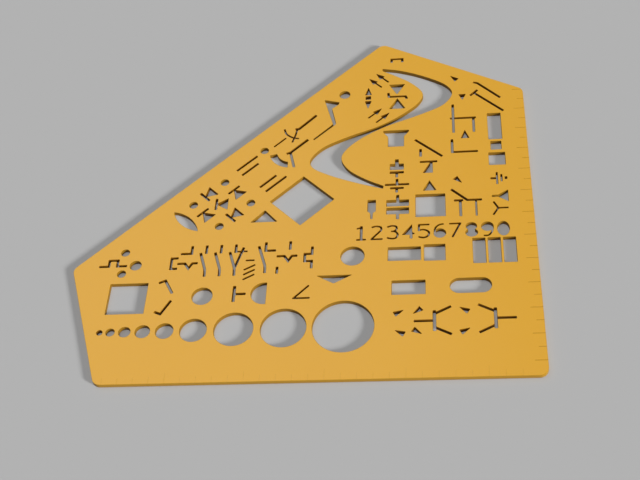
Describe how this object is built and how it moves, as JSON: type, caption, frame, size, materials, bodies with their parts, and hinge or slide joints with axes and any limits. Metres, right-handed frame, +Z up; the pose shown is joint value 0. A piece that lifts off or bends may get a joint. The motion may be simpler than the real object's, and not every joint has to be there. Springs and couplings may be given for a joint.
{
  "type": "electronic symbol template",
  "caption": "Flat amber plastic drawing template with circuit symbols, circles and numerals cut through it and ruler lines along its edges.",
  "frame": {"origin": "centre of the sheet's bounding box, on its underside", "axes": "+X along the base edge towards the ruler edge, +Y across the sheet towards its peak, +Z up through the sheet to its printed side"},
  "size_m": [0.1572, 0.154, 0.0015],
  "materials": {
    "template_sheet": "smooth satin amber plastic"
  },
  "bodies": {
    "root": {"template_sheet": "template_sheet"}
  },
  "joints": []
}
